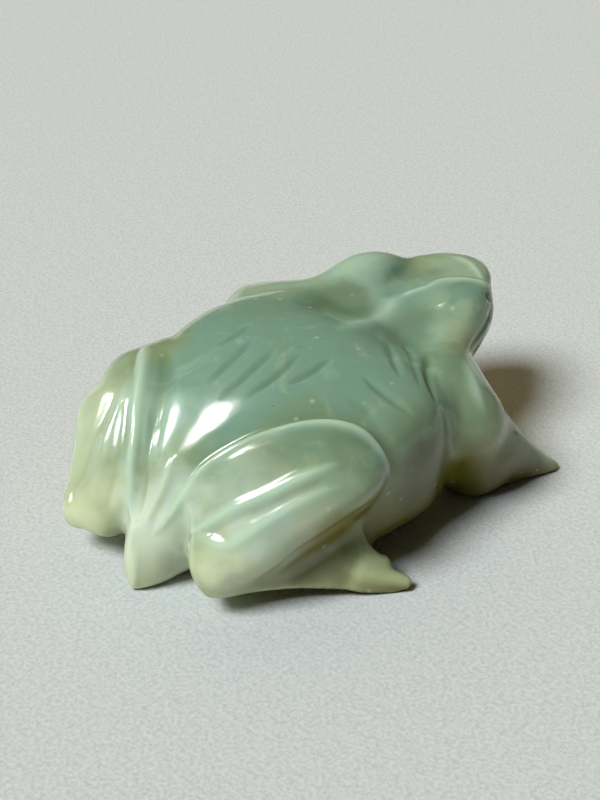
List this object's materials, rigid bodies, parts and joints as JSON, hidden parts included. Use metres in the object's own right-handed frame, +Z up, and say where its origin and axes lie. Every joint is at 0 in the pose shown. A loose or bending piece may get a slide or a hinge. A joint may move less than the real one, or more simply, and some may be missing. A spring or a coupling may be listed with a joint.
{
  "type": "frog figurine",
  "caption": "Crouching frog carved from one piece of pale jade, resting on flat soles, with folded hind legs, raised eye mounds and engraved back lines.",
  "frame": {"origin": "on the ground plane, under the middle of the stone's bounding box", "axes": "+Z up, -Y the way the frog faces, +X the frog's left"},
  "size_m": [0.068, 0.091, 0.033],
  "materials": {
    "jade": "polished, waxy, slightly translucent"
  },
  "bodies": {
    "root": {"torso": "jade", "head": "jade", "eye_left": "jade", "eye_right": "jade", "foreleg_left": "jade", "foreleg_right": "jade", "forefoot_left": "jade", "forefoot_right": "jade", "hind_leg_left": "jade", "hind_leg_right": "jade", "hind_foot_left": "jade", "hind_foot_right": "jade"}
  },
  "joints": []
}
